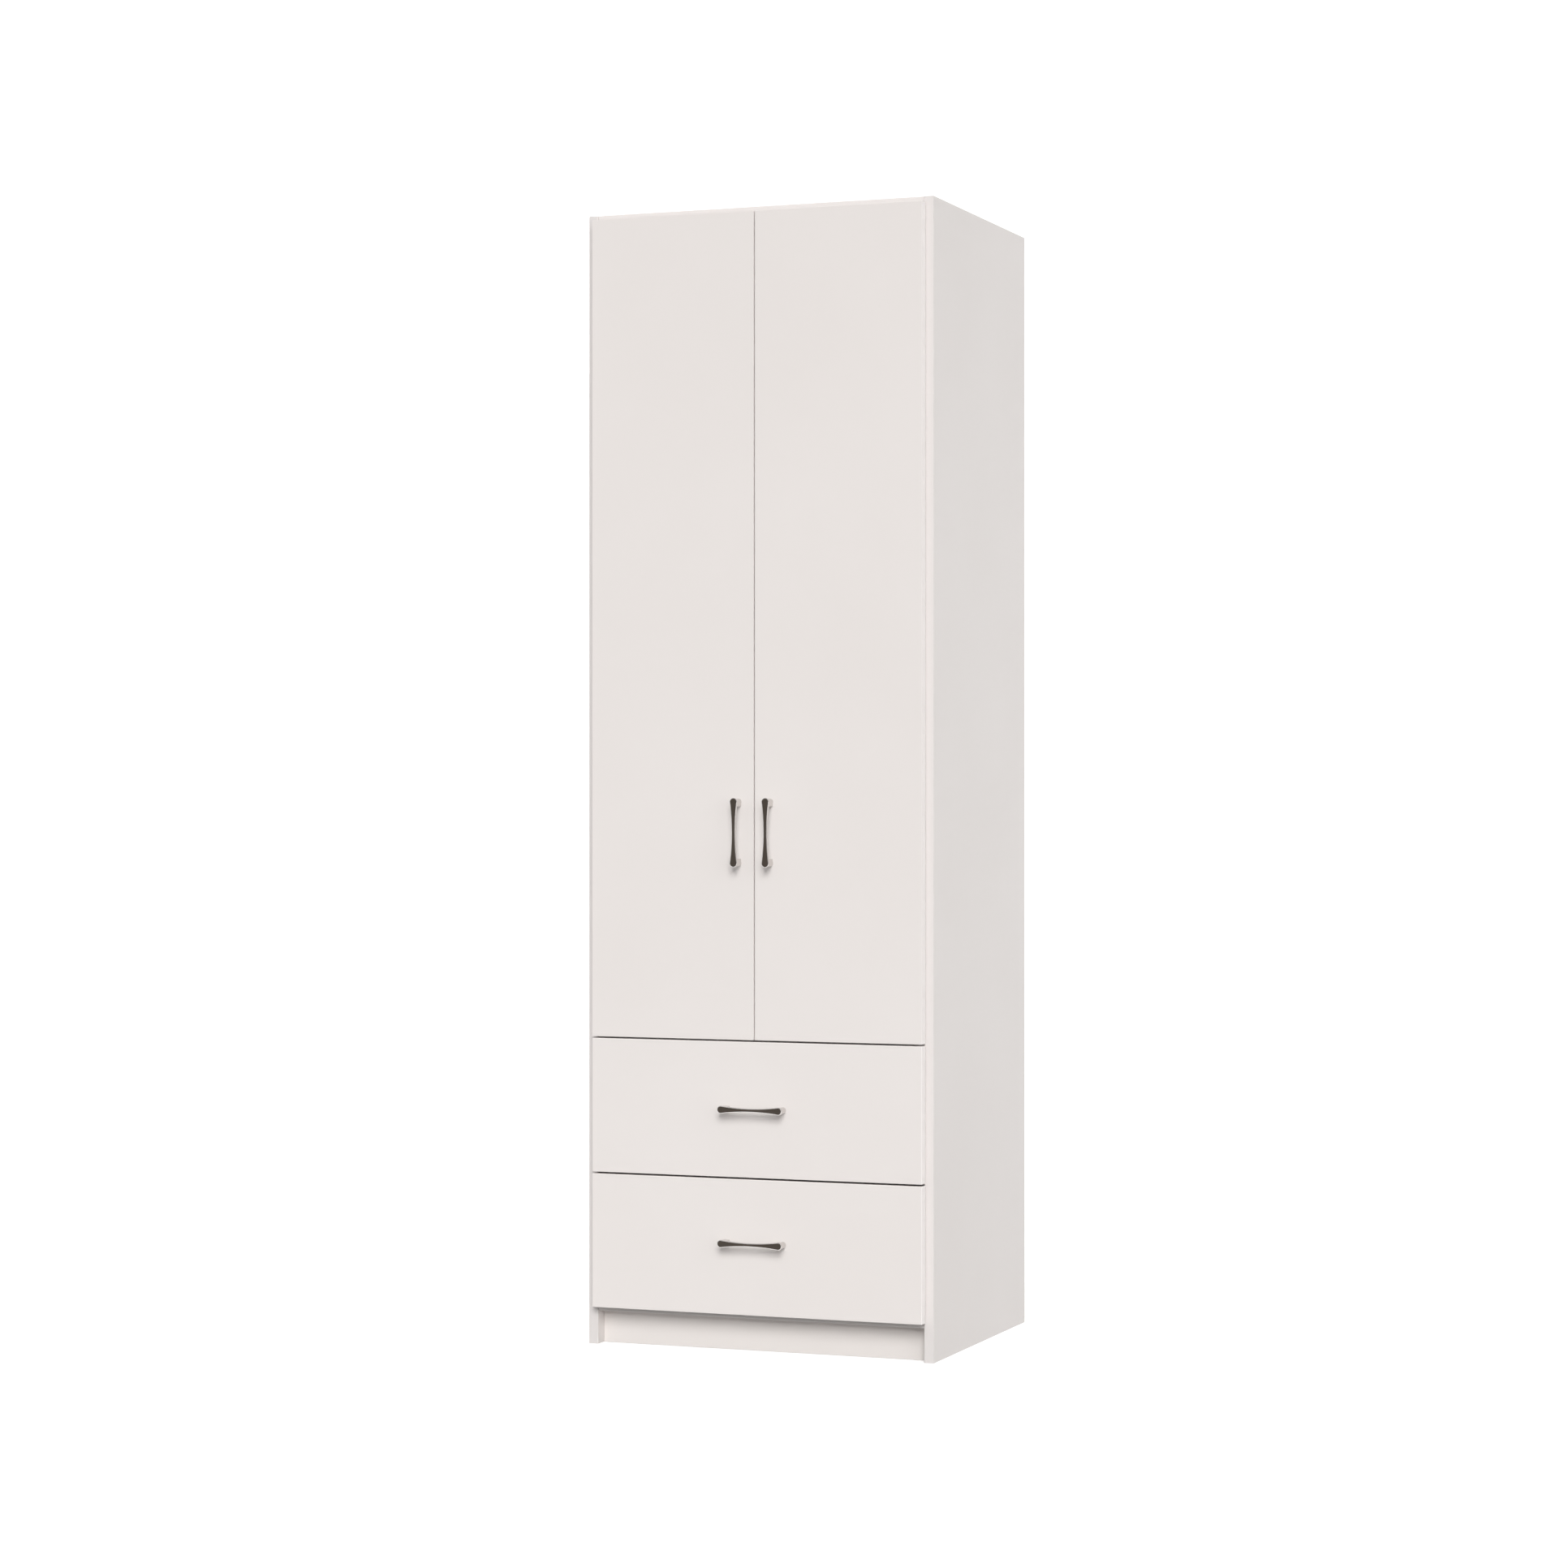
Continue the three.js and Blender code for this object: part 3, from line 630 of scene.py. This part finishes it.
def handle(name, strip_look, upright):
    """Chrome bow on two posts, and the strip in its face painted dark as a painted reflection of the
    chrome, on the front of the same name.
    """
    low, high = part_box(f"handle_{name}")
    centre = (low + high) / 2
    length = (high.z - low.z) if upright else (high.x - low.x)
    width = (high.x - low.x) if upright else (high.z - low.z)
    off = high.y - low.y
    turn = Matrix.Rotation(math.radians(90), 4, "X")
    if upright:
        turn = turn @ Matrix.Rotation(math.radians(90), 4, "Z")
    place = Matrix.Translation((centre.x, high.y, centre.z)) @ turn
    shape = bmesh.new()
    under = off - HANDLE_THICK
    slab(shape, bow_outline(length, width, 0), under, off - HANDLE_FACE_BACK)
    post_start = (HANDLE_PITCH - HANDLE_POST_ALONG) / 2
    post = [(u, w) for u, w in bow_outline(length, width, HANDLE_POST_INSET) if u > post_start]
    slab(shape, post, 0, under + HANDLE_POST_LAP)
    slab(shape, [(-u, -w) for u, w in post], 0, under + HANDLE_POST_LAP)
    bar = make_object(f"handle_{name}.fine", shape, LOOK["chrome"], HANDLE_ARRIS, HANDLE_SEGMENTS)
    bar.matrix_world = place
    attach(bar, name)
    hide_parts(f"handle_{name}")
    shape = bmesh.new()
    slab(shape, bow_outline(length, width, HANDLE_RIM), off - STRIP_THICK, off)
    strip = make_object(f"handle_inlay_{name}.fine", shape, strip_look, STRIP_ARRIS, STRIP_SEGMENTS)
    strip.matrix_world = place
    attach(strip, name)
    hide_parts(f"handle_inlay_{name}")


for side, _ in SIDES:
    handle(f"door_{side}", LOOK["reflection_strip_door"], True)
for drawer in DRAWERS:
    handle(f"drawer_{drawer}", LOOK["reflection_strip_drawer"], False)

# ---- screws, nails and bumpers -------------------------------------------------------------------


def head(shape, at, normal, size, crossed):
    """Domed head on a face, with a cross slot, or plain for a nail or a bumper."""
    radius, height = size
    turn = Vector(normal).to_track_quat("Z", "Y").to_matrix()
    arm = radius * CROSS_REACH
    width = arm * CROSS_WIDTH
    corner = math.atan2(width, arm)
    between = (corner + math.pi / 4) / 2
    steps = (-corner, 0, corner, between, math.pi / 4, math.pi / 2 - between)
    angles = [(quarter, step) for quarter in range(4) for step in steps]

    def ring(reach, level):
        """Vertices round the head, as far out as reach says for each angle within its quarter."""
        made = []
        for quarter, step in angles:
            a = quarter * math.pi / 2 + step
            r = reach(step)
            point = Vector((r * math.cos(a), r * math.sin(a), level))
            made.append(shape.verts.new(Vector(at) + turn @ point))
        return made

    def cross(step):
        """Outline of the slot: the ends of its arms, and the sides that meet between them."""
        if abs(step) <= corner + ANGLE_SLACK:
            return arm / math.cos(step)
        near = min(step, math.pi / 2 - step)
        return width / math.sin(near)

    rings = [
        ring(lambda step: radius, -HEAD_SINK),
        ring(lambda step: radius, height * HEAD_WALL),
        ring(lambda step: radius * HEAD_SHOULDER[0], height * HEAD_SHOULDER[1]),
    ]
    if crossed:
        rings.append(ring(cross, height))
        rings.append(ring(lambda step: cross(step) * CROSS_TAPER, height * CROSS_FLOOR))
    else:
        rings.append(ring(lambda step: radius * HEAD_CROWN, height))
    for low, high in zip(rings, rings[1:]):
        for i in range(len(angles)):
            j = (i + 1) % len(angles)
            shape.faces.new((low[i], low[j], high[j], high[i]))
    shape.faces.new(rings[0][::-1])
    shape.faces.new(rings[-1])


def heads(name, spots, normal, size, body, look="nickel", crossed=True):
    """One object of equal heads on one face."""
    shape = bmesh.new()
    for at in spots:
        head(shape, at, normal, size, crossed)
    made = make_object(name, shape, LOOK[look])
    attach(made, body)


def outer_inner(box, sign):
    """X of a box's faces away from the middle of the wardrobe and towards it."""
    low, high = box
    return (low.x, high.x) if sign < 0 else (high.x, low.x)


def add_hinge_screws(side, sign):
    for place in HINGE_PLACES:
        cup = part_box(f"hinge_cup_{place}_{side}")
        x = outer_inner(cup, sign)[0] - sign * CUP_FROM_FLANGE
        z = (cup[0].z + cup[1].z) / 2
        spots = [(x, cup[1].y, z + up) for up in (-CUP_SCREW_UP, CUP_SCREW_UP)]
        heads(f"cup_screws_{place}_{side}", spots, TO_REAR, CUP_SCREW, f"door_{side}")
        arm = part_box(f"hinge_arm_{place}_{side}")
        wall, crown = outer_inner(arm, sign)
        inward = (-sign, 0, 0)
        x = wall - sign * PLATE_THICK
        y = arm[0].y + PLATE_SCREW_Y
        spots = [(x, y, z + up) for up in (-PLATE_SCREW_UP, PLATE_SCREW_UP)]
        heads(f"plate_screws_{place}_{side}", spots, inward, PLATE_SCREW, "carcass")
        spots = [(crown, arm[0].y + along, z) for along in ARM_SCREW_Y]
        heads(f"arm_screws_{place}_{side}", spots, inward, ARM_SCREW, "carcass")


def add_handle_screws(name, upright):
    """Two screw heads inside the front, behind the handle's posts."""
    low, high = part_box(f"handle_{name}")
    centre = (low + high) / 2
    spots = []
    for along in (-HANDLE_PITCH / 2, HANDLE_PITCH / 2):
        x = centre.x if upright else centre.x + along
        z = centre.z + along if upright else centre.z
        spots.append((x, DOOR_REAR, z))
    heads(f"handle_screws_{name}", spots, TO_REAR, HANDLE_SCREW, name)


def add_bumpers(side, sign):
    """Soft buttons at the free corners inside a door."""
    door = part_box(f"door_{side}")
    free = outer_inner(door, sign)[1] + sign * BUMPER_INSET
    spots = [(free, DOOR_REAR, z) for z in (door[0].z + BUMPER_EDGE, door[1].z - BUMPER_EDGE)]
    heads(f"bumpers_{side}", spots, TO_REAR, BUMPER, f"door_{side}", "plastic", crossed=False)


def add_socket_screws(side, sign):
    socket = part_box(f"rail_socket_{side}")
    face = outer_inner(socket, sign)[0] - sign * SOCKET_FLANGE
    y = (socket[0].y + socket[1].y) / 2
    z = (socket[0].z + socket[1].z) / 2
    spots = [(face, y, z + up) for up in (-SOCKET_SCREW_UP, SOCKET_SCREW_UP)]
    heads(f"socket_screws_{side}", spots, (-sign, 0, 0), SOCKET_SCREW, "carcass")


def add_slide_screws(drawer, side, sign):
    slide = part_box(f"slide_cabinet_{drawer}_{side}")
    web = outer_inner(slide, sign)[0] - sign * SLIDE_SHEET
    z = (slide[0].z + slide[1].z) / 2
    spots = [(web, slide[0].y + along, z) for along in SLIDE_SCREW_Y]
    heads(f"slide_screws_{drawer}_{side}", spots, (-sign, 0, 0), SLIDE_SCREW, "carcass")


def nail_row(start, end):
    """Places along an edge, as near to the pitch as whole gaps allow."""
    count = max(2, round((end - start) / NAIL_PITCH) + 1)
    return [start + (end - start) * i / (count - 1) for i in range(count)]


def add_nails(panel):
    """Nail heads round the edge of a back panel; the corner nails belong to the upright rows."""
    low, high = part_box(panel)
    face = BACK_FACE - NAIL_HEIGHT
    spots = []
    for x in (low.x + NAIL_INSET, high.x - NAIL_INSET):
        spots += [(x, face, z) for z in nail_row(low.z + NAIL_INSET, high.z - NAIL_INSET)]
    start = low.x + NAIL_INSET + NAIL_PITCH
    end = high.x - NAIL_INSET - NAIL_PITCH
    for z in (low.z + NAIL_INSET, high.z - NAIL_INSET):
        spots += [(x, face, z) for x in nail_row(start, end)]
    heads(f"nails_{panel}", spots, TO_REAR, (NAIL_RADIUS, NAIL_HEIGHT), "carcass", crossed=False)


for side, sign in SIDES:
    add_hinge_screws(side, sign)
    add_handle_screws(f"door_{side}", True)
    add_bumpers(side, sign)
    add_socket_screws(side, sign)
    for drawer in DRAWERS:
        add_slide_screws(drawer, side, sign)
for drawer in DRAWERS:
    add_handle_screws(f"drawer_{drawer}", False)
for panel in BACK_PANELS:
    add_nails(panel)

# ---- stage ---------------------------------------------------------------------------------------

FLOOR_HALF_WIDTH = 14.0
FLOOR_FRONT = -9.0
FLOOR_FLAT_END = 5.0
SWEEP_RADIUS = 3.0
SWEEP_STEPS = 24
WALL_RADIUS = 8.9
WALL_HEIGHT = 9.0
WALL_SINK = 0.2
WALL_STEPS = 96


def stage_object(name, rows, look):
    """Ruled sheet through rows of points, hidden from diffuse rays."""
    shape = bmesh.new()
    rows = [[shape.verts.new(point) for point in row] for row in rows]
    for a, b in zip(rows, rows[1:]):
        for i in range(len(a) - 1):
            shape.faces.new((a[i], a[i + 1], b[i + 1], b[i]))
    mesh = bpy.data.meshes.new(name)
    shape.to_mesh(mesh)
    shape.free()
    mesh.materials.append(look)
    mesh.shade_smooth()
    made = bpy.data.objects.new(name, mesh)
    made.visible_diffuse = False
    bpy.context.scene.collection.objects.link(made)
    return made


def add_stage():
    """Pale floor that sweeps up behind the object, and a pale wall all round it."""
    profile = [(FLOOR_FRONT, 0.0), (FLOOR_FLAT_END, 0.0)]
    for i in range(1, SWEEP_STEPS + 1):
        a = math.pi / 2 * i / SWEEP_STEPS
        profile.append((FLOOR_FLAT_END + SWEEP_RADIUS * math.sin(a), SWEEP_RADIUS * (1 - math.cos(a))))
    profile.append((FLOOR_FLAT_END + SWEEP_RADIUS, WALL_HEIGHT))
    rows = [[(x, y, z) for x in (-FLOOR_HALF_WIDTH, FLOOR_HALF_WIDTH)] for y, z in profile]
    stage_object("floor", rows, pale_floor())
    rows = []
    for z in (-WALL_SINK, WALL_HEIGHT):
        turns = [2 * math.pi * i / WALL_STEPS for i in range(WALL_STEPS + 1)]
        rows.append([(WALL_RADIUS * math.cos(a), WALL_RADIUS * math.sin(a), z) for a in turns])
    wall = stage_object("backdrop", rows, pale_wall())
    wall.visible_glossy = False
    wall.visible_shadow = False


add_stage()
add_camera()
add_light()
